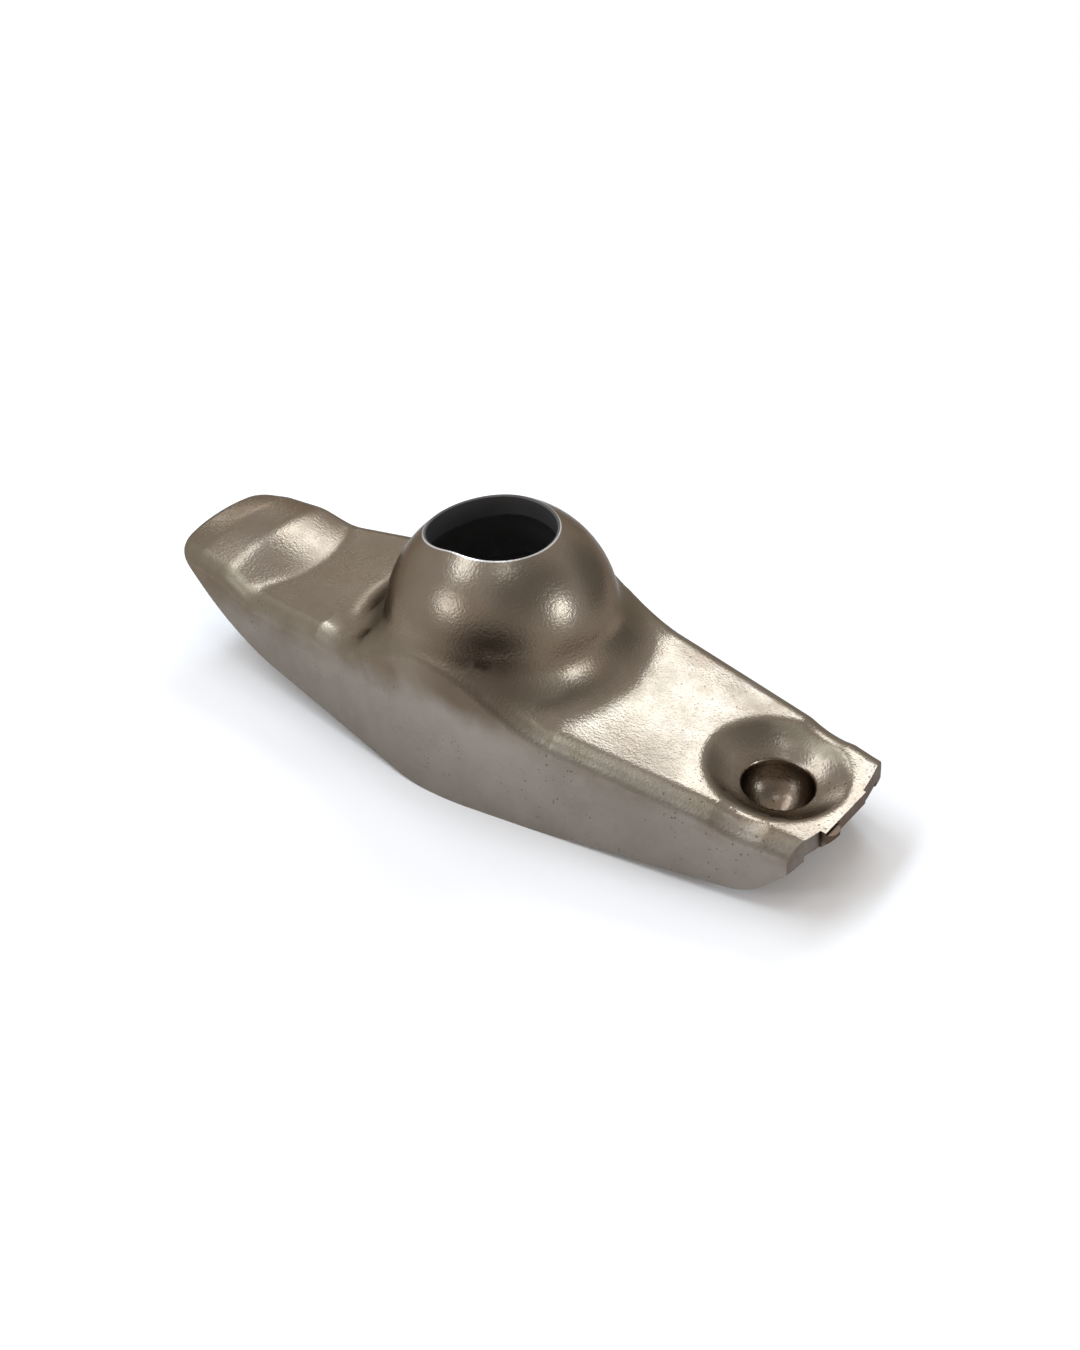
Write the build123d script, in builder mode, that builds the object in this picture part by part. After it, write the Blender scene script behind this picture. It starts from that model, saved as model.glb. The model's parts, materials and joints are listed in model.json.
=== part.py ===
from build123d import *
from math import cos, radians, sin, sqrt, tan
import os

# A rocker arm pressed from one sheet of steel, lying with its channel downward.
# X runs along the arm to the pushrod end, Y across it and Z up through the seat dome.
# The origin is the centre of the spherical pivot seat. All sizes are in millimetres.

# Sheet
SHEET = 2.2                  # thickness of the steel
BEND_RADIUS = 2.5            # outside of the bend from the floor to the walls
SHEARED_EDGE = 0.3           # edge break round the stud opening

# Pivot seat
SEAT_RADIUS = 13.7           # outside of the dome
FOOT_RADIUS = 7.0            # hollow blend between the dome and the floor
TROUGH_START = -19.7         # shallow trough across the floor, on the nose side of the dome
TROUGH_RADIUS = 9.0
TROUGH_DEPTH = 0.5
TROUGH_LIP = 1.0
OPENING_WIDTH = 13.2         # stud opening, across the arm
OPENING_LENGTH = 15.6        # stud opening, along the arm
OPENING_CENTRE = -1.0        # toward the nose

# Floor, seen from the side
FOLD_HEIGHT = -1.07          # where the floors of the two arms would meet
FOLD_RADIUS = 60.0           # soft fold between the two floors
PUSHROD_DROOP = 7.1          # fall of the pushrod arm's floor, in degrees
VALVE_DROOP = 5.3            # fall of the valve arm's floor, in degrees

# Outline, seen from above
WAIST_HALF_WIDTH = 14.8      # at the pivot, before the corner is rounded
WAIST_DRAFT = 3.8            # spread of the walls below the pivot, in degrees
WAIST_RADIUS = 45.0
PUSHROD_END = 46.6
PUSHROD_END_RADIUS = 30.0    # of the sheared end
PUSHROD_HALF_WIDTH = 9.7     # at the sheared end
NOSE_END = -47.5
NOSE_HALF_WIDTH = 8.1
NOSE_CORNER = 4.0
TAB_START = -4.4             # stub of the tab that held the blank in its strip
TAB_FINISH = 3.1
TAB_LENGTH = 0.2
TEAR_CENTRE = -4.0           # torn corner of the tab
TEAR_RADIUS = 1.25
TEAR_STEP = 0.35             # from the floor down to the torn corner

# Valve pad, a rounded ridge across the nose
PAD_FOOT = -28.7             # where the floor turns up
PAD_CREST_START = -36.0
PAD_CREST_END = -41.5
PAD_RISE = 2.9               # crest above the floor
PAD_NOSE_DROP = 1.6          # from the crest to the front of the nose
PAD_FOOT_RADIUS = 5.0
PAD_CREST_RADIUS = 7.0
PAD_CROWN_RADIUS = 30.0      # crown of the pad across the nose
PAD_CROWN_ANGLE = 30.0       # to each side of the middle

# Pushrod cup
CUP_DISTANCE = 37.6          # from the pivot
DISH_RADIUS = 12.6           # shallow dish round the socket
DISH_HALF_WIDTH = 8.0        # of the dish, in the plane of the floor
DISH_LIP = 2.5
SOCKET_RADIUS = 4.0          # takes a 5/16 in ball
SOCKET_DEPTH = 2.4           # from the floor down to the socket's centre
SOCKET_SHIFT = 0.4           # from the middle of the dish toward the end
SOCKET_LIP = 0.5

# Lower edge of the walls
REST_HEIGHT = -16.35         # level edge that the arm stands on
EDGE_TURN = -2.0             # where the edge begins to rise to the nose
EDGE_RISE = 8.1              # degrees, under the valve arm
SWEEP_START = -35.5          # corner where the edge sweeps up to the nose
SWEEP_ANGLE = 40.0
SWEEP_RADIUS = 30.0
LIFT_START = 14.0            # where the edge begins to rise to the pushrod end
LIFT_RISE = 3.5              # degrees, under the pushrod arm
LIFT_RADIUS = 30.0
HEEL_START = 40.6            # corner where the edge turns up to the sheared end
HEEL_ANGLE = 45.0
HEEL_RADIUS = 7.0

# Blank that the form is cut from
BLANK_HALF_WIDTH = 30.0
BLANK_END = 62.0
BLANK_DEPTH = 40.0
OUTLINE_END = 67.0           # outline runs past the blank
BLANK_NOSE = NOSE_END - 3


def floor_height(x):
    """Height of the plain floor at x, without dome, pad or cup."""
    droop = PUSHROD_DROOP if x > 0 else VALVE_DROOP
    return FOLD_HEIGHT - abs(x) * tan(radians(droop))


def drawn_form(inset):
    """The pressing as a full block, with its skin moved inward by inset."""
    crest = floor_height(PAD_CREST_START) + PAD_RISE
    droop = radians(PUSHROD_DROOP)
    cup_plane = Plane(
        origin=(CUP_DISTANCE, 0, floor_height(CUP_DISTANCE)),
        x_dir=(cos(droop), 0, -sin(droop)),
        z_dir=(sin(droop), 0, cos(droop)),
    )
    with BuildPart() as form:
        # Floor, the same all across
        with BuildSketch(Plane.XZ):
            with BuildLine():
                skin = FilletPolyline(
                    (BLANK_END, floor_height(BLANK_END)),
                    (0, FOLD_HEIGHT),
                    (BLANK_NOSE, floor_height(BLANK_NOSE)),
                    radius=FOLD_RADIUS,
                )
                Polyline(skin @ 1, (BLANK_NOSE, -BLANK_DEPTH), (BLANK_END, -BLANK_DEPTH), skin @ 0)
            make_face()
            if inset:
                offset(amount=-inset, kind=Kind.INTERSECTION)
        extrude(amount=BLANK_HALF_WIDTH, both=True)

        # Valve pad, crowned across the nose, with its foot blended into the floor
        pad_start = 2 * PAD_FOOT - PAD_CREST_START
        with BuildSketch(Plane.XZ) as pad_side:
            with BuildLine():
                ridge = FilletPolyline(
                    (pad_start, 2 * floor_height(PAD_FOOT) - crest),
                    (PAD_CREST_START, crest),
                    (PAD_CREST_END, crest),
                    (BLANK_NOSE, crest - PAD_NOSE_DROP),
                    radius=PAD_CREST_RADIUS,
                )
                below = crest - PAD_CROWN_RADIUS / 2
                Polyline(ridge @ 1, (BLANK_NOSE, below), (pad_start, below), ridge @ 0)
            make_face()
            if inset:
                offset(amount=-inset, kind=Kind.INTERSECTION)
        crown = Axis((0, 0, crest - PAD_CROWN_RADIUS), (1, 0, 0))
        revolve(axis=crown, revolution_arc=PAD_CROWN_ANGLE)
        revolve(pad_side.sketch, axis=crown.reverse(), revolution_arc=PAD_CROWN_ANGLE)
        joins = form.edges().filter_by_position(Axis.Y, -BLANK_HALF_WIDTH / 2, BLANK_HALF_WIDTH / 2)
        foot = joins.filter_by_position(Axis.X, BLANK_NOSE, PAD_FOOT).sort_by(Axis.X)[-1]
        fillet(foot, PAD_FOOT_RADIUS + inset)

        # Trough beside the dome, coined into the outer skin alone
        if not inset:
            trough_middle = TROUGH_START + sqrt(2 * TROUGH_RADIUS * TROUGH_DEPTH)
            trough_height = floor_height(trough_middle) - TROUGH_DEPTH + TROUGH_RADIUS
            with BuildSketch(Plane.XZ):
                with Locations((trough_middle, trough_height)):
                    Circle(TROUGH_RADIUS)
            extrude(amount=BLANK_HALF_WIDTH, both=True, mode=Mode.SUBTRACT)
            fillet(form.edges(Select.LAST).filter_by(Axis.Y).sort_by(Axis.X)[0], TROUGH_LIP)

        # Dome, with its foot blended into the floor
        Sphere(SEAT_RADIUS - inset)
        joins = form.edges(Select.LAST).filter_by(GeomType.LINE, reverse=True)
        fillet(joins.filter_by(lambda edge: edge.center().Z < 0), FOOT_RADIUS + inset)

        # Dish with a rounded lip, and the ball socket near its middle
        with Locations(cup_plane.offset(sqrt(DISH_RADIUS**2 - DISH_HALF_WIDTH**2))):
            Sphere(DISH_RADIUS + inset, mode=Mode.SUBTRACT)
        if not inset:
            fillet(form.edges(Select.LAST).sort_by(SortBy.LENGTH)[-1], DISH_LIP)
        with Locations(cup_plane.offset(-SOCKET_DEPTH)):
            with Locations((SOCKET_SHIFT, 0)):
                Sphere(SOCKET_RADIUS + inset, mode=Mode.SUBTRACT)
        if not inset:
            fillet(form.edges(Select.LAST).sort_by(SortBy.LENGTH)[-1], SOCKET_LIP)

        # Outline from above, which leaves the walls
        for height in (-BLANK_DEPTH, BLANK_DEPTH):
            waist = WAIST_HALF_WIDTH - height * tan(radians(WAIST_DRAFT))
            blank_half = waist - (waist - PUSHROD_HALF_WIDTH) * OUTLINE_END / PUSHROD_END
            with BuildSketch(Plane.XY.offset(height)):
                with BuildLine():
                    outline = FilletPolyline(
                        (OUTLINE_END, -blank_half),
                        (0, -waist),
                        (NOSE_END, -NOSE_HALF_WIDTH),
                        (NOSE_END, NOSE_HALF_WIDTH),
                        (0, waist),
                        (OUTLINE_END, blank_half),
                        radius=[WAIST_RADIUS, NOSE_CORNER, NOSE_CORNER, WAIST_RADIUS],
                    )
                    Line(outline @ 1, outline @ 0)
                make_face()
                if inset:
                    offset(amount=-inset, kind=Kind.INTERSECTION)
        loft(mode=Mode.INTERSECT)

        # Bend between the floor and the walls
        walls = form.faces().filter_by(lambda face: abs(face.normal_at().Z) < 0.1)
        walls = walls.filter_by(lambda face: face.center().X < BLANK_END - 5)
        wall_edges = [edge for face in walls for edge in face.edges()]
        upper = [edge for edge in wall_edges if edge.center().Z > -BLANK_DEPTH / 2]
        fillet([edge for edge in upper if abs((edge % 0.5).Z) < 0.9], BEND_RADIUS - inset)
    return form.part


with BuildPart() as rocker_arm:
    add(drawn_form(0))
    add(drawn_form(SHEET), mode=Mode.SUBTRACT)

    # Lower edge of the walls
    with BuildSketch(Plane.XZ):
        with BuildLine():
            rise = tan(radians(EDGE_RISE))
            sweep_height = REST_HEIGHT + (EDGE_TURN - SWEEP_START) * rise
            sweep_run = SWEEP_START - BLANK_NOSE
            heel_height = REST_HEIGHT + (HEEL_START - LIFT_START) * tan(radians(LIFT_RISE))
            heel_run = BLANK_END - HEEL_START
            edge_line = FilletPolyline(
                (BLANK_NOSE, sweep_height + sweep_run * tan(radians(SWEEP_ANGLE))),
                (SWEEP_START, sweep_height),
                (EDGE_TURN, REST_HEIGHT),
                (LIFT_START, REST_HEIGHT),
                (HEEL_START, heel_height),
                (BLANK_END, heel_height + heel_run * tan(radians(HEEL_ANGLE))),
                radius=[SWEEP_RADIUS, SWEEP_RADIUS, LIFT_RADIUS, HEEL_RADIUS],
            )
            Polyline(edge_line @ 1, (BLANK_END, BLANK_DEPTH), (BLANK_NOSE, BLANK_DEPTH), edge_line @ 0)
        make_face()
    extrude(amount=BLANK_HALF_WIDTH, both=True, mode=Mode.INTERSECT)

    # Sheared pushrod end, with the stub of its tab
    with BuildSketch(Plane.XY.offset(-BLANK_DEPTH)):
        with Locations((CUP_DISTANCE, 0)):
            Rectangle(BLANK_END, 2 * BLANK_HALF_WIDTH, align=(Align.MIN, Align.CENTER))
        with Locations((PUSHROD_END - PUSHROD_END_RADIUS, 0)):
            Circle(PUSHROD_END_RADIUS, mode=Mode.SUBTRACT)
        with Locations((0, TAB_START)):
            Rectangle(PUSHROD_END + TAB_LENGTH, TAB_FINISH - TAB_START, align=Align.MIN, mode=Mode.SUBTRACT)
        with Locations((PUSHROD_END - TAB_LENGTH, TEAR_CENTRE)):
            Circle(TEAR_RADIUS, mode=Mode.SUBTRACT)
    extrude(amount=3 * BLANK_DEPTH, mode=Mode.SUBTRACT)

    # Step down to the torn corner
    with BuildSketch(Plane.XY.offset(floor_height(PUSHROD_END) - TEAR_STEP)):
        with Locations((PUSHROD_END + TAB_LENGTH, 0)):
            Rectangle(BLANK_END, 2 * BLANK_HALF_WIDTH, align=(Align.MIN, Align.CENTER))
    extrude(amount=SHEET, mode=Mode.SUBTRACT)

    # Stud opening through the top of the dome
    with BuildSketch(Plane.XY):
        with Locations((OPENING_CENTRE, 0)):
            SlotOverall(OPENING_LENGTH, OPENING_WIDTH)
    extrude(amount=BLANK_DEPTH, mode=Mode.SUBTRACT)
    rim = rocker_arm.edges().filter_by_position(Axis.Z, SEAT_RADIUS - 1.5 * SHEET, SEAT_RADIUS)
    chamfer(rim, SHEARED_EDGE)

rocker_arm.part.label = "rocker_arm"

box = rocker_arm.part.bounding_box()
print("Size", box.size)
print("Reach", box.min, box.max)
print("Volume", round(rocker_arm.part.volume), "valid", rocker_arm.part.is_valid)
print("Solids", len(rocker_arm.part.solids()), "centre of mass", rocker_arm.part.center(CenterOf.MASS))

os.makedirs("parts", exist_ok=True)
export_step(rocker_arm.part, "parts/rocker_arm.step")
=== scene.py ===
"""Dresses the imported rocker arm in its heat-treated steel finish and sets it on a plain stage."""

import json
import math

import bpy
from bpy.props import FloatProperty, FloatVectorProperty, PointerProperty
from mathutils import Euler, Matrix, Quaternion, Vector

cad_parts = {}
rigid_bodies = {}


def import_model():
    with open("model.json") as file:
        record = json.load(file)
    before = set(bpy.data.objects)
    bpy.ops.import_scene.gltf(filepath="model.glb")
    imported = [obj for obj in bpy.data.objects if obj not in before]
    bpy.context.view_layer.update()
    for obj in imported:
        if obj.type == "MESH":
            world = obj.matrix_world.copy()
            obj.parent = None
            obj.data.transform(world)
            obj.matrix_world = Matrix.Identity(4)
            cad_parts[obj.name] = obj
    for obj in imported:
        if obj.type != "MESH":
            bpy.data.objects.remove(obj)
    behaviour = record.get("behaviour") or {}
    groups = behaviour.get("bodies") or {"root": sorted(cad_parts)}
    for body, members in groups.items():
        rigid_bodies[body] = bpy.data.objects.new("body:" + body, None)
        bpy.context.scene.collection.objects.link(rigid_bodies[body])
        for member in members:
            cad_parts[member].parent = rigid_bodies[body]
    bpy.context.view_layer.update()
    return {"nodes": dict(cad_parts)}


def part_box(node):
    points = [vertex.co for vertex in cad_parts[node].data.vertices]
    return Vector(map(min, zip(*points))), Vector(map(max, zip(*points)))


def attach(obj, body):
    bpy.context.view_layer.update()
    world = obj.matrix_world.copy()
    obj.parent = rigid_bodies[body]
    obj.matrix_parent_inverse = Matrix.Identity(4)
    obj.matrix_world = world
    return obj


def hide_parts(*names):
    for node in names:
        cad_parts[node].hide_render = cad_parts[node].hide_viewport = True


bl_info = {
    "name": "Pressed Rocker Arm",
    "version": (1, 0, 0),
    "blender": (4, 5, 0),
    "location": "3D View > Sidebar > Rocker Arm",
    "description": "Finishes a pressed steel rocker arm and its stage",
    "category": "Object",
}

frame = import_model()
NODE = "rocker_arm"
LOW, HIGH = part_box(NODE)
MM = 0.001
ORIGIN = (0.0, 0.0, 0.0)

# Places on the arm

FLOOR_HEIGHT = LOW[2]
CUP_CENTRE = (HIGH[0] - 9.95 * MM, 0.0, LOW[2] + 8.2 * MM)
CUP_BOTTOM = (CUP_CENTRE[0], 0.0, CUP_CENTRE[2] - 4 * MM)
TORN_CORNER = (HIGH[0] - 0.9 * MM, -4.0 * MM, -7.2 * MM)
# Middle of the painted shade on the front of the waist, beside the dome
WAIST_PAINTED_SHADE = (6 * MM, -13 * MM, 0.5 * MM)
FLOOR_SLOPE = 0.11
OPENING_CENTRE = -1.0 * MM
OPENING_STRAIGHT = 2.4 * MM
OPENING_RIM = 6.85 * MM

# Material slots of the arm, and the regions that aren't sheared: a point, a normal and a slot

SHEARED, SKIN, INSIDE = range(3)
REGIONS = (
    ((0.0, -12.0 * MM, 6.6 * MM), (0, -1, 0.5), SKIN),
    (CUP_BOTTOM, (0, 0, 1), SKIN),
    ((0.0, 10.2 * MM, 5.0 * MM), (0, -1, 0), INSIDE),
    ((0.0, 6.6 * MM, 10.6 * MM), (0, -1, 0), INSIDE),
    ((0.0, 6.7 * MM, 11.5 * MM), (0, -0.5, 0.5), INSIDE),
)
FACING = 0.5
WELD = 0.002 * MM
CREASE = math.radians(32)

# The attribute that marks the bends, and what counts as one

BEND = "bend"
BEND_TURN = (0.3, 0.97)
BEND_TOP = 2 * MM
BEND_OFFSET = 6 * MM

# Lamps: azimuth from +Y toward +X, elevation, width, height, radiance and roll, angles in degrees

LAMP_REACH = 0.6
LAMPS = {
    "back_softbox": (-20, 44, 23, 15, 8.8, -12),
    "ceiling_left": (-100, 63, 54, 13, 7.5, 0),
    "front_lamp": (-155, 28, 18, 12, 8.0, 0),
    "right_window": (78, 18, 8, 13, 22.0, 0),
    "top_lamp": (128, 76, 10, 8, 5.0, 0),
    "left_window": (-54, 15, 16, 4, 8.0, 0),
}

# Dark cards: azimuth, elevation, width and height in degrees, then density at the middle

FLAG_REACH = 0.8
FLAGS = {
    "camera_flag": (153, -2, 95, 72, 1.0),
    "side_flag": (100, 50, 105, 70, 0.55),
    "back_flag": (25, 0, 70, 80, 0.6),
}

FLOOR_RADIUS = 0.16
FLOOR_FADE = (0.085, 0.15)


# Node helpers


def feed(tree, socket, value):
    """Links a node's output to a socket, or writes a plain value there."""
    if isinstance(value, bpy.types.NodeSocket):
        tree.links.new(value, socket)
    else:
        socket.default_value = value


def add(tree, kind, inputs=None, **settings):
    """Adds a node of this kind with its settings, and feeds the inputs that are given."""
    node = tree.nodes.new(kind)
    for name, value in settings.items():
        setattr(node, name, value)
    for name, value in (inputs or {}).items():
        feed(tree, node.inputs[name], value)
    return node


def calculate(tree, operation, *operands):
    """Adds a Math node and returns its value. Each operand is a number or a socket."""
    return add(tree, "ShaderNodeMath", dict(enumerate(operands)), operation=operation).outputs["Value"]


def ramp(tree, value, low, high):
    """Maps a value smoothly from low..high to 0..1."""
    inputs = {"Value": value, "From Min": low, "From Max": high}
    return add(tree, "ShaderNodeMapRange", inputs, interpolation_type="SMOOTHSTEP").outputs["Result"]


def noise(tree, position, scale, detail=3.0, roughness=0.55):
    """Adds a noise of the given scale, in cycles per metre, and returns its value."""
    inputs = {"Vector": position, "Scale": scale, "Detail": detail, "Roughness": roughness}
    return add(tree, "ShaderNodeTexNoise", inputs).outputs["Fac"]


def blend_colour(tree, factor, first, second):
    """Mixes two colours by a factor. Each colour is a tuple or a socket."""
    node = add(tree, "ShaderNodeMix", {"Factor": factor}, data_type="RGBA")
    for name, colour in (("A", first), ("B", second)):
        socket = next(s for s in node.inputs if s.name == name and s.type == "RGBA")
        linked = isinstance(colour, bpy.types.NodeSocket)
        feed(tree, socket, colour if linked else (*colour, 1.0))
    return next(s for s in node.outputs if s.type == "RGBA")


def tint(tree, colour, mask, amount, second):
    """Lays a second colour over the first where the mask says, up to the given amount."""
    return blend_colour(tree, calculate(tree, "MULTIPLY", mask, amount), colour, second)


def distance_from(tree, position, centre):
    """Returns the distance from a point, in metres."""
    return add(tree, "ShaderNodeVectorMath", {0: position, 1: centre}, operation="DISTANCE").outputs["Value"]


def mix_shaders(tree, factor, first, second):
    """Mixes two shader nodes and returns the mix."""
    inputs = {0: factor, 1: first.outputs[0], 2: second.outputs[0]}
    return add(tree, "ShaderNodeMixShader", inputs).outputs[0]


def new_group(name, inputs, outputs):
    """Starts a shader node group with its sockets and returns its tree, inputs and outputs."""
    tree = bpy.data.node_groups.new(name, "ShaderNodeTree")
    for label, kind, value in inputs:
        socket = tree.interface.new_socket(name=label, in_out="INPUT", socket_type=kind)
        if value is not None:
            socket.default_value = value
    for label in outputs:
        tree.interface.new_socket(name=label, in_out="OUTPUT", socket_type="NodeSocketFloat")
    return tree, tree.nodes.new("NodeGroupInput").outputs, tree.nodes.new("NodeGroupOutput").inputs


def place_group(tree, group, position, **values):
    """Places a node group in a material with its own values and returns its outputs."""
    node = add(tree, "ShaderNodeGroup", node_tree=group)
    tree.links.new(position, node.inputs["Position"])
    for name, value in values.items():
        node.inputs[name.replace("_", " ")].default_value = value
    return node.outputs


def arrange(tree, width=220, height=260):
    """Lays the nodes out in columns, each node to the left of all that it feeds."""
    column = dict.fromkeys(tree.nodes.keys(), 0)
    for _ in tree.nodes:
        for link in tree.links:
            after = column[link.to_node.name] + 1
            column[link.from_node.name] = max(column[link.from_node.name], after)
    filled = dict.fromkeys(column.values(), 0)
    for name, place in column.items():
        tree.nodes[name].location = (-width * place, -height * filled[place])
        filled[place] += 1


# Shared surface effects


def rolled_skin_group():
    """Fine orange peel of pressed sheet steel: a height for Bump and a mottle for the colour."""
    inputs = (
        ("Position", "NodeSocketVector", None),
        ("Peel Scale", "NodeSocketFloat", 3200.0),
        ("Mottle Scale", "NodeSocketFloat", 90.0),
    )
    tree, source, sink = new_group("Rolled skin", inputs, ("Height", "Mottle"))
    fine = noise(tree, source["Position"], source["Peel Scale"], detail=2.0, roughness=0.5)
    broad = noise(tree, source["Position"], source["Mottle Scale"], detail=8.0, roughness=0.66)
    tree.links.new(fine, sink["Height"])
    tree.links.new(ramp(tree, broad, 0.35, 0.65), sink["Mottle"])
    arrange(tree)
    return tree


def pit_group(smallest=0.10, spread=0.22, softness=0.08):
    """Scattered small dark pits: a mask that is 1 inside a pit. Radii are shares of a cell."""
    inputs = (
        ("Position", "NodeSocketVector", None),
        ("Scale", "NodeSocketFloat", 900.0),
        ("Share", "NodeSocketFloat", 0.3),
    )
    tree, source, sink = new_group("Pits", inputs, ("Pit",))
    place = {"Vector": source["Position"], "Scale": source["Scale"]}
    cells = add(tree, "ShaderNodeTexVoronoi", place, feature="F1")
    chance = add(tree, "ShaderNodeSeparateColor", {"Color": cells.outputs["Color"]}).outputs
    chosen = calculate(tree, "LESS_THAN", chance["Red"], source["Share"])
    size = ramp(tree, chance["Green"], 0.0, 1.0)
    radius = calculate(tree, "MULTIPLY_ADD", size, spread, smallest)
    depth = calculate(tree, "SUBTRACT", radius, cells.outputs["Distance"])
    inside = ramp(tree, depth, 0.0, softness)
    tree.links.new(calculate(tree, "MULTIPLY", inside, chosen), sink["Pit"])
    arrange(tree)
    return tree


# Materials


def start_material(name, finish):
    """Starts a metal material and returns it with its tree, its shader and its object position."""
    material = bpy.data.materials.new(name)
    material.use_nodes = True
    tree = material.node_tree
    shader = tree.nodes["Principled BSDF"]
    shader.inputs["Metallic"].default_value = 1.0
    shader.inputs["Specular Tint"].default_value = (*finish.edge_tint, 1.0)
    return material, tree, shader, add(tree, "ShaderNodeTexCoord").outputs["Object"]


def add_bump(tree, shader, height, strength, depth, normal=None):
    """Feeds a height to the shader's normal and returns the bumped normal."""
    inputs = {"Height": height, "Strength": strength, "Distance": depth}
    if normal is not None:
        inputs["Normal"] = normal
    bumped = add(tree, "ShaderNodeBump", inputs).outputs["Normal"]
    tree.links.new(bumped, shader.inputs["Normal"])
    return bumped


def heat_tints_and_shade(tree, position, mottle, bend, finish):
    """Bronze skin with olive along the bends, amber patches, and painted shade beside the dome."""
    bronze = blend_colour(tree, mottle, finish.bronze, finish.bronze_dark)
    olive_patch = ramp(tree, noise(tree, position, 70.0, detail=4.0, roughness=0.6), 0.48, 0.68)
    faint = calculate(tree, "MULTIPLY", olive_patch, 0.4)
    bronze = tint(tree, bronze, calculate(tree, "MAXIMUM", faint, bend), 0.36, finish.olive)
    amber_patch = ramp(tree, noise(tree, position, 110.0, detail=4.0, roughness=0.6), 0.50, 0.70)
    bronze = tint(tree, bronze, amber_patch, 0.4, finish.amber)
    # Painted shade: the skin turns darker near the front of the waist, beside the dome
    painted_waist_shade = ramp(tree, distance_from(tree, position, WAIST_PAINTED_SHADE), 9 * MM, 3 * MM)
    return tint(tree, bronze, painted_waist_shade, 0.6, finish.painted_shade_and_dark_corner)


def wall_mask(tree, position, axes):
    """1 on the walls and 0 on the floor and the cup, with a ragged line between them."""
    reach = calculate(tree, "ABSOLUTE", axes["X"])
    level = calculate(tree, "MULTIPLY_ADD", reach, FLOOR_SLOPE, axes["Z"])
    wander = noise(tree, position, 300.0, roughness=0.5)
    ragged = calculate(tree, "MULTIPLY_ADD", wander, 4 * MM, -2 * MM)
    level = calculate(tree, "ADD", level, ragged)
    off_cup = ramp(tree, distance_from(tree, position, CUP_CENTRE), 8.5 * MM, 10.0 * MM)
    return calculate(tree, "MULTIPLY", ramp(tree, level, -0.8 * MM, -5.6 * MM), off_cup)


def rust_mask(tree, position, axes):
    """Broken rust round the socket and along the sheared end."""
    round_cup = ramp(tree, distance_from(tree, position, CUP_CENTRE), 6.5 * MM, 4.0 * MM)
    at_end = ramp(tree, axes["X"], HIGH[0] - 3 * MM, HIGH[0] - 0.5 * MM)
    broken = ramp(tree, noise(tree, position, 260.0), 0.45, 0.62)
    return calculate(tree, "MULTIPLY", calculate(tree, "MAXIMUM", round_cup, at_end), broken)


def rim_highlight_mask(tree, axes):
    """A thin line of painted highlight on the skin all round the stud opening, which is an oblong."""
    along = calculate(tree, "ABSOLUTE", calculate(tree, "SUBTRACT", axes["X"], OPENING_CENTRE))
    past = calculate(tree, "SUBTRACT", along, OPENING_STRAIGHT / 2)
    past = calculate(tree, "MAXIMUM", past, 0.0)
    spot = add(tree, "ShaderNodeCombineXYZ", {"X": past, "Y": axes["Y"]}).outputs["Vector"]
    span = distance_from(tree, spot, ORIGIN)
    line = ramp(tree, span, OPENING_RIM + 0.20 * MM, OPENING_RIM + 0.08 * MM)
    return calculate(tree, "MULTIPLY", line, ramp(tree, axes["Z"], 8 * MM, 9 * MM))


def pit_mask(tree, position, axes, pits):
    """Pits in patches on the walls only."""
    cells = place_group(tree, pits, position, Scale=2200.0, Share=0.32)
    patch = ramp(tree, noise(tree, position, 120.0), 0.42, 0.62)
    area = calculate(tree, "MULTIPLY", patch, ramp(tree, axes["Z"], -2 * MM, -6 * MM))
    return calculate(tree, "MULTIPLY", cells["Pit"], area)


def pressed_steel(finish, groups):
    """Satin heat-treated steel: bronze on the top, greyer and pitted on the walls, with painted shade beside
    the dome and a painted highlight round the stud opening.
    """
    material, tree, shader, position = start_material("Pressed steel", finish)
    skin = place_group(tree, groups["skin"], position)
    axes = add(tree, "ShaderNodeSeparateXYZ", {"Vector": position}).outputs
    bend = add(tree, "ShaderNodeAttribute", attribute_name=BEND).outputs["Fac"]

    # The upper skin's colour, with the painted shade beside the dome
    bronze = heat_tints_and_shade(tree, position, skin["Mottle"], bend, finish)
    grey = blend_colour(tree, skin["Mottle"], finish.grey, finish.grey_dark)
    colour = blend_colour(tree, wall_mask(tree, position, axes), bronze, grey)
    colour = tint(tree, colour, rust_mask(tree, position, axes), 0.28, finish.rust)
    # Painted highlight: a thin bright line round the stud opening
    colour = blend_colour(tree, rim_highlight_mask(tree, axes), colour, finish.painted_rim_highlight)
    pit = pit_mask(tree, position, axes, groups["pits"])
    colour = tint(tree, colour, pit, 0.6, finish.pit)
    tree.links.new(colour, shader.inputs["Base Color"])

    # Satin, duller in patches and along the bends
    satin = {"Value": skin["Mottle"], "To Min": finish.roughness - 0.03, "To Max": finish.roughness + 0.07}
    satin = add(tree, "ShaderNodeMapRange", satin).outputs["Result"]
    roughness = calculate(tree, "MULTIPLY_ADD", bend, finish.bend_wear, satin)
    tree.links.new(roughness, shader.inputs["Roughness"])

    normal = add_bump(tree, shader, skin["Height"], 0.8, finish.peel_depth)
    sunk = calculate(tree, "SUBTRACT", 1.0, pit)
    add_bump(tree, shader, sunk, 0.6, finish.pit_depth, normal)
    arrange(tree)
    return material


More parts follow.
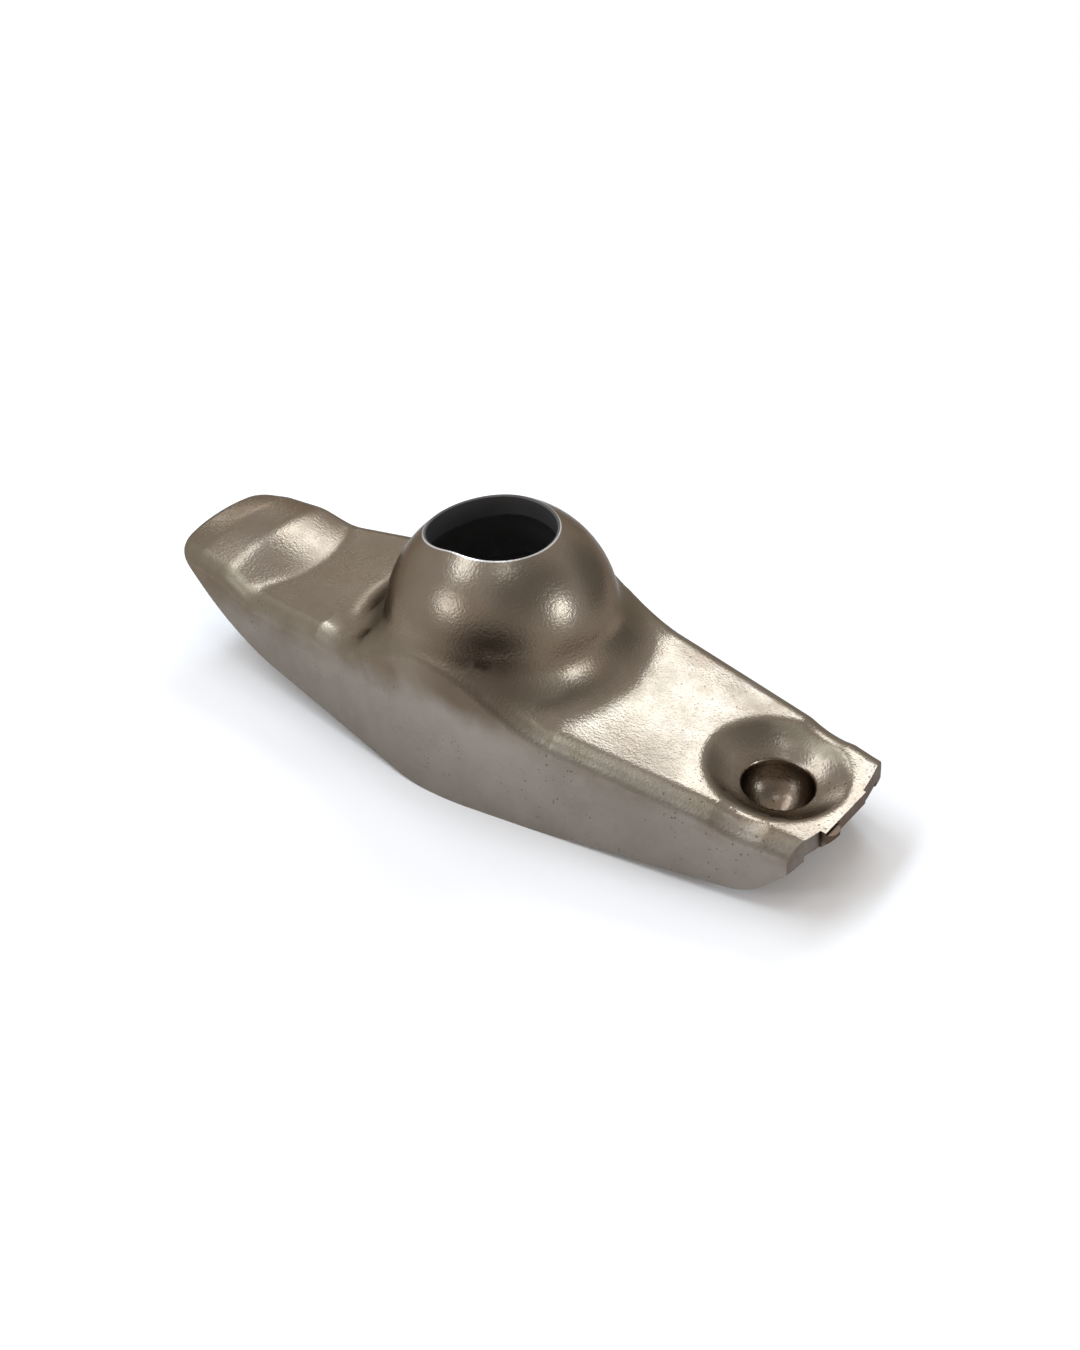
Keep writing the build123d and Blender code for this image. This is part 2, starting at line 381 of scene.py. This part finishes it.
def sheared_edge(finish, groups):
    """Bare sheared edge, a little rusty, and darker at the torn corner."""
    material, tree, shader, position = start_material("Sheared edge", finish)
    skin = place_group(tree, groups["skin"], position, Peel_Scale=2200.0, Mottle_Scale=400.0)
    colour = calculate(tree, "MULTIPLY", skin["Mottle"], 0.45)
    colour = blend_colour(tree, colour, finish.edge, finish.rust)
    # Darker near the torn corner, in the colour that also paints the shade beside the dome
    torn = ramp(tree, distance_from(tree, position, TORN_CORNER), 1.9 * MM, 1.4 * MM)
    colour = blend_colour(tree, torn, colour, finish.painted_shade_and_dark_corner)
    tree.links.new(colour, shader.inputs["Base Color"])
    shader.inputs["Roughness"].default_value = 0.42
    add_bump(tree, shader, skin["Height"], 0.5, finish.peel_depth)
    arrange(tree)
    return material


def channel_inside(finish, groups):
    """Underside skin, dull with oil, with painted shade inside the dome: black and not metal there."""
    material, tree, shader, position = start_material("Channel inside", finish)
    skin = place_group(tree, groups["skin"], position, Mottle_Scale=70.0)
    # Painted shade: a black, matt colour towards the middle of the dome's inside
    painted_shade_inside_mask = ramp(tree, distance_from(tree, position, ORIGIN), 18 * MM, 12 * MM)
    steel = blend_colour(tree, skin["Mottle"], finish.grey_dark, finish.bronze_dark)
    colour = blend_colour(tree, painted_shade_inside_mask, steel, finish.painted_inside_shade)
    tree.links.new(colour, shader.inputs["Base Color"])
    # Metal only outside the painted shade
    bare = calculate(tree, "SUBTRACT", 1.0, painted_shade_inside_mask)
    tree.links.new(bare, shader.inputs["Metallic"])
    shader.inputs["Roughness"].default_value = 0.5
    add_bump(tree, shader, skin["Height"], 0.4, finish.peel_depth)
    arrange(tree)
    return material


def matt_material(name, colour, roughness):
    """Starts a matt material and returns it with its tree, its shader and its object position."""
    material = bpy.data.materials.new(name)
    material.use_nodes = True
    tree = material.node_tree
    shader = tree.nodes["Principled BSDF"]
    shader.inputs["Base Color"].default_value = (*colour, 1)
    shader.inputs["Roughness"].default_value = roughness
    shader.inputs["Specular IOR Level"].default_value = 0.0
    return material, tree, shader, add(tree, "ShaderNodeTexCoord").outputs["Object"]


# Settings


def colour_setting(name, description, default):
    """Makes a colour for a property group."""
    return FloatVectorProperty(
        name=name, description=description, subtype="COLOR", size=3, min=0, max=1, default=default
    )


def length_setting(name, description, default):
    """Makes a depth in metres for a property group."""
    return FloatProperty(
        name=name, description=description, subtype="DISTANCE", unit="LENGTH", min=0, default=default
    )


class RockerFinish(bpy.types.PropertyGroup):
    """Colours and texture of the steel."""

    bronze: colour_setting("Bronze", "Heat tint of the upper skin", (0.20, 0.163, 0.125))
    bronze_dark: colour_setting("Dark bronze", "Darker mottle of the upper skin", (0.165, 0.130, 0.096))
    olive: colour_setting("Olive", "Green-gold heat tint, most of it along the bends", (0.160, 0.138, 0.092))
    amber: colour_setting("Amber", "Red-brown heat tint", (0.185, 0.130, 0.090))
    # Painted shade beside the dome; the same colour makes the torn corner darker
    painted_shade_and_dark_corner: colour_setting("Shade and dark corner", "Painted shade beside the dome, and a darker colour at the torn corner", (0.095, 0.064, 0.045))
    grey: colour_setting("Grey", "Skin of the walls", (0.275, 0.245, 0.215))
    grey_dark: colour_setting("Dark grey", "Darker mottle of the walls", (0.235, 0.207, 0.18))
    rust: colour_setting("Rust", "Rust tint round the socket and on sheared edges", (0.10, 0.045, 0.028))
    pit: colour_setting("Pit", "Colour inside the pits", (0.035, 0.027, 0.022))
    edge: colour_setting("Edge", "Sheared metal", (0.20, 0.175, 0.155))
    # Painted highlight on the rim of the stud opening
    painted_rim_highlight: colour_setting("Rim highlight", "Painted highlight on the rim of the stud opening", (0.62, 0.595, 0.56))
    # Painted shade inside the dome
    painted_inside_shade: colour_setting("Inside shade", "Painted shade inside the dome", (0.04, 0.04, 0.042))
    edge_tint: colour_setting("Edge tint", "Colour of the steel at a grazing view", (0.45, 0.42, 0.40))
    roughness: FloatProperty(
        name="Roughness", description="Roughness of the satin skin", min=0.05, max=1, default=0.23
    )
    bend_wear: FloatProperty(
        name="Bend wear", description="Extra roughness on the bends", min=0, max=1, default=0.16
    )
    peel_depth: length_setting("Orange peel", "Depth of the fine skin texture", 0.04 * MM)
    pit_depth: length_setting("Pit depth", "Depth of the pits", 0.08 * MM)


class RockerStage(bpy.types.PropertyGroup):
    """Camera and light."""

    camera_place: FloatVectorProperty(
        name="Camera place", description="Where the camera stands", subtype="TRANSLATION",
        unit="LENGTH", size=3, default=(0.12760, -0.15250, 0.13861),
    )
    camera_turn: FloatVectorProperty(
        name="Camera turn", description="Camera rotation", subtype="EULER",
        unit="ROTATION", size=3, default=tuple(math.radians(a) for a in (53.332, 2.112, 37.208)),
    )
    lens: FloatProperty(name="Lens", description="Focal length in millimetres", min=10, default=55.72)
    world_level: FloatProperty(
        name="World level", description="Level of the plain light from all round", min=0, default=0.66
    )
    world_colour: colour_setting("World colour", "Colour of the plain light", (1.0, 0.90, 0.81))
    floor_colour: colour_setting("Floor", "Colour of the floor", (0.93, 0.93, 0.93))
    lamp_colour: colour_setting("Lamp colour", "Daylight colour of the lamps", (0.75, 0.87, 1.0))
    flag_colour: colour_setting("Flag colour", "Colour of the dark cards", (0.08, 0.075, 0.07))


# Pieces


def pick_region(arm, point, normal, slot):
    """Gives a material slot to the smooth region whose face lies nearest to the point."""
    mesh = arm.data
    facing = [f for f in mesh.polygons if f.normal.dot(Vector(normal)) > FACING]
    nearest = min(facing, key=lambda f: (f.center - Vector(point)).length).index
    bpy.ops.object.mode_set(mode="EDIT")
    bpy.ops.mesh.select_all(action="DESELECT")
    bpy.ops.object.mode_set(mode="OBJECT")
    mesh.polygons[nearest].select = True
    bpy.ops.object.mode_set(mode="EDIT")
    bpy.ops.mesh.select_linked(delimit={"SHARP"})
    arm.active_material_index = slot
    bpy.ops.object.material_slot_assign()
    bpy.ops.object.mode_set(mode="OBJECT")


def mark_bends(mesh):
    """Writes the attribute that is 1 on the bends from the floor to the walls, and 0 elsewhere."""
    least, most = BEND_TURN
    bend = mesh.attributes.new(BEND, "FLOAT", "POINT")
    for vertex, mark in zip(mesh.vertices, bend.data):
        turned = least < abs(vertex.normal.y) < most
        mark.value = float(turned and vertex.co.z < BEND_TOP and abs(vertex.co.y) > BEND_OFFSET)


class ROCKER_OT_pressed_arm(bpy.types.Operator):
    """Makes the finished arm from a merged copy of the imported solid"""

    bl_idname = "rocker.pressed_arm"
    bl_label = "Pressed arm"

    def execute(self, context):
        finish = context.scene.rocker_finish
        groups = {"skin": rolled_skin_group(), "pits": pit_group()}
        bpy.ops.object.select_all(action="DESELECT")
        solid = frame["nodes"][NODE]
        arm = bpy.data.objects.new("pressed_arm", solid.data.copy())
        context.scene.collection.objects.link(arm)
        context.view_layer.objects.active = arm
        arm.select_set(True)
        arm.data.materials.clear()
        for make in (sheared_edge, pressed_steel, channel_inside):
            arm.data.materials.append(make(finish, groups))

        bpy.ops.object.mode_set(mode="EDIT")
        bpy.ops.mesh.select_all(action="SELECT")
        bpy.ops.mesh.customdata_custom_splitnormals_clear()
        bpy.ops.mesh.remove_doubles(threshold=WELD)
        bpy.ops.mesh.select_mode(type="EDGE")
        bpy.ops.mesh.select_all(action="DESELECT")
        bpy.ops.mesh.edges_select_sharp(sharpness=CREASE)
        bpy.ops.mesh.mark_sharp()
        bpy.ops.mesh.select_mode(type="FACE")
        bpy.ops.object.mode_set(mode="OBJECT")
        for face in arm.data.polygons:
            face.material_index = SHEARED
        for point, normal, slot in REGIONS:
            pick_region(arm, point, normal, slot)
        mark_bends(arm.data)
        bpy.ops.object.shade_smooth_by_angle(angle=CREASE)
        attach(arm, "root")
        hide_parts(NODE)
        return {"FINISHED"}


# Stage


def direction_to(azimuth, elevation):
    """The direction at these angles in degrees, azimuth from +Y toward +X."""
    turn, rise = math.radians(azimuth), math.radians(elevation)
    level = math.cos(rise)
    return Vector((math.sin(turn) * level, math.cos(turn) * level, math.sin(rise)))


def span_of(angle, reach):
    """The width that fills this angle, in degrees, at this distance."""
    return 2 * reach * math.tan(math.radians(angle / 2))


def area_lamp(name, colour, azimuth, elevation, width, height, radiance, roll):
    """Hangs a soft rectangular lamp that faces the arm."""
    data = bpy.data.lights.new(name, "AREA")
    data.shape = "RECTANGLE"
    data.size = span_of(width, LAMP_REACH)
    data.size_y = span_of(height, LAMP_REACH)
    data.energy = radiance * math.pi * data.size * data.size_y
    data.color = colour
    lamp = bpy.data.objects.new(name, data)
    direction = direction_to(azimuth, elevation)
    facing = direction.to_track_quat("Z", "Y") @ Quaternion((0, 0, 1), math.radians(roll))
    lamp.location = LAMP_REACH * direction
    lamp.rotation_euler = facing.to_euler()
    bpy.context.scene.collection.objects.link(lamp)


def build_world(stage):
    """White wherever it is seen, directly or in the steel, with a plain level for the light it gives."""
    world = bpy.data.worlds.new("Surround")
    world.use_nodes = True
    tree = world.node_tree
    tree.nodes.clear()
    rays = add(tree, "ShaderNodeLightPath").outputs
    mirrored = calculate(tree, "MAXIMUM", rays["Is Glossy Ray"], rays["Is Transmission Ray"])
    seen = calculate(tree, "MAXIMUM", rays["Is Camera Ray"], mirrored)
    plain = {"Color": (*stage.world_colour, 1), "Strength": stage.world_level}
    even = add(tree, "ShaderNodeBackground", plain)
    white = add(tree, "ShaderNodeBackground", {"Color": (1, 1, 1, 1)})
    add(tree, "ShaderNodeOutputWorld", {"Surface": mix_shaders(tree, seen, even, white)})
    arrange(tree)
    bpy.context.scene.world = world


def build_flag(name, colour, azimuth, elevation, width, height, density):
    """Stands a soft-edged matt card that only the steel reflects."""
    direction = direction_to(azimuth, elevation)
    turn = direction.to_track_quat("Z", "Y").to_euler()
    bpy.ops.mesh.primitive_plane_add(size=1, location=FLAG_REACH * direction, rotation=turn)
    flag = bpy.context.active_object
    flag.name = name
    flag.scale = (span_of(width, FLAG_REACH), span_of(height, FLAG_REACH), 1)
    material, tree, shader, position = matt_material(name, colour, 1.0)
    inward = ramp(tree, distance_from(tree, position, ORIGIN), 0.5, 0.12)
    cover = calculate(tree, "MULTIPLY", inward, density)
    clear = add(tree, "ShaderNodeBsdfTransparent")
    card = mix_shaders(tree, cover, clear, shader)
    tree.links.new(card, tree.nodes["Material Output"].inputs["Surface"])
    arrange(tree)
    flag.data.materials.append(material)
    flag.visible_camera = False
    flag.visible_diffuse = False
    flag.visible_shadow = False


def build_floor(stage):
    """Lays a pale floor under the arm, which fades out into the white surround."""
    bpy.ops.mesh.primitive_circle_add(
        vertices=96, radius=FLOOR_RADIUS, fill_type="NGON", location=(0, 0, 0)
    )
    floor = bpy.context.active_object
    floor.name = "floor"
    for vertex in floor.data.vertices:
        vertex.co.z = FLOOR_HEIGHT
    material, tree, shader, position = matt_material("Pale floor", stage.floor_colour, 0.9)
    outward = ramp(tree, distance_from(tree, position, (0, 0, FLOOR_HEIGHT)), *FLOOR_FADE)
    clear = add(tree, "ShaderNodeBsdfTransparent")
    surface = mix_shaders(tree, outward, shader, clear)
    tree.links.new(surface, tree.nodes["Material Output"].inputs["Surface"])
    arrange(tree)
    floor.data.materials.append(material)


class ROCKER_OT_stage(bpy.types.Operator):
    """Sets the floor, the surround, the lamps, the dark cards and the camera"""

    bl_idname = "rocker.stage"
    bl_label = "Stage"

    def execute(self, context):
        stage = context.scene.rocker_stage
        bpy.ops.object.select_all(action="DESELECT")
        build_floor(stage)
        build_world(stage)
        for name, values in LAMPS.items():
            area_lamp(name, stage.lamp_colour, *values)
        for name, values in FLAGS.items():
            build_flag(name, stage.flag_colour, *values)
        context.scene.view_settings.view_transform = "Standard"
        data = bpy.data.cameras.new("camera")
        data.lens = stage.lens
        data.sensor_width = 36
        data.clip_start = 0.01
        camera = bpy.data.objects.new("camera", data)
        camera.location = stage.camera_place
        camera.rotation_euler = Euler(stage.camera_turn)
        context.scene.collection.objects.link(camera)
        context.scene.camera = camera
        return {"FINISHED"}


class ROCKER_PT_panel(bpy.types.Panel):
    """Lists the settings, the piece and the stage"""

    bl_idname = "ROCKER_PT_panel"
    bl_label = "Rocker Arm"
    bl_space_type = "VIEW_3D"
    bl_region_type = "UI"
    bl_category = "Rocker Arm"

    def draw(self, context):
        for name in RockerFinish.__annotations__:
            self.layout.prop(context.scene.rocker_finish, name)
        self.layout.operator("rocker.pressed_arm")
        for name in RockerStage.__annotations__:
            self.layout.prop(context.scene.rocker_stage, name)
        self.layout.operator("rocker.stage")


CLASSES = (RockerFinish, RockerStage, ROCKER_OT_pressed_arm, ROCKER_OT_stage, ROCKER_PT_panel)


def register():
    for item in CLASSES:
        bpy.utils.register_class(item)
    bpy.types.Scene.rocker_finish = PointerProperty(type=RockerFinish)
    bpy.types.Scene.rocker_stage = PointerProperty(type=RockerStage)


def unregister():
    del bpy.types.Scene.rocker_stage
    del bpy.types.Scene.rocker_finish
    for item in reversed(CLASSES):
        bpy.utils.unregister_class(item)


def main():
    register()
    bpy.ops.rocker.pressed_arm()
    bpy.ops.rocker.stage()


if __name__ == "__main__":
    main()
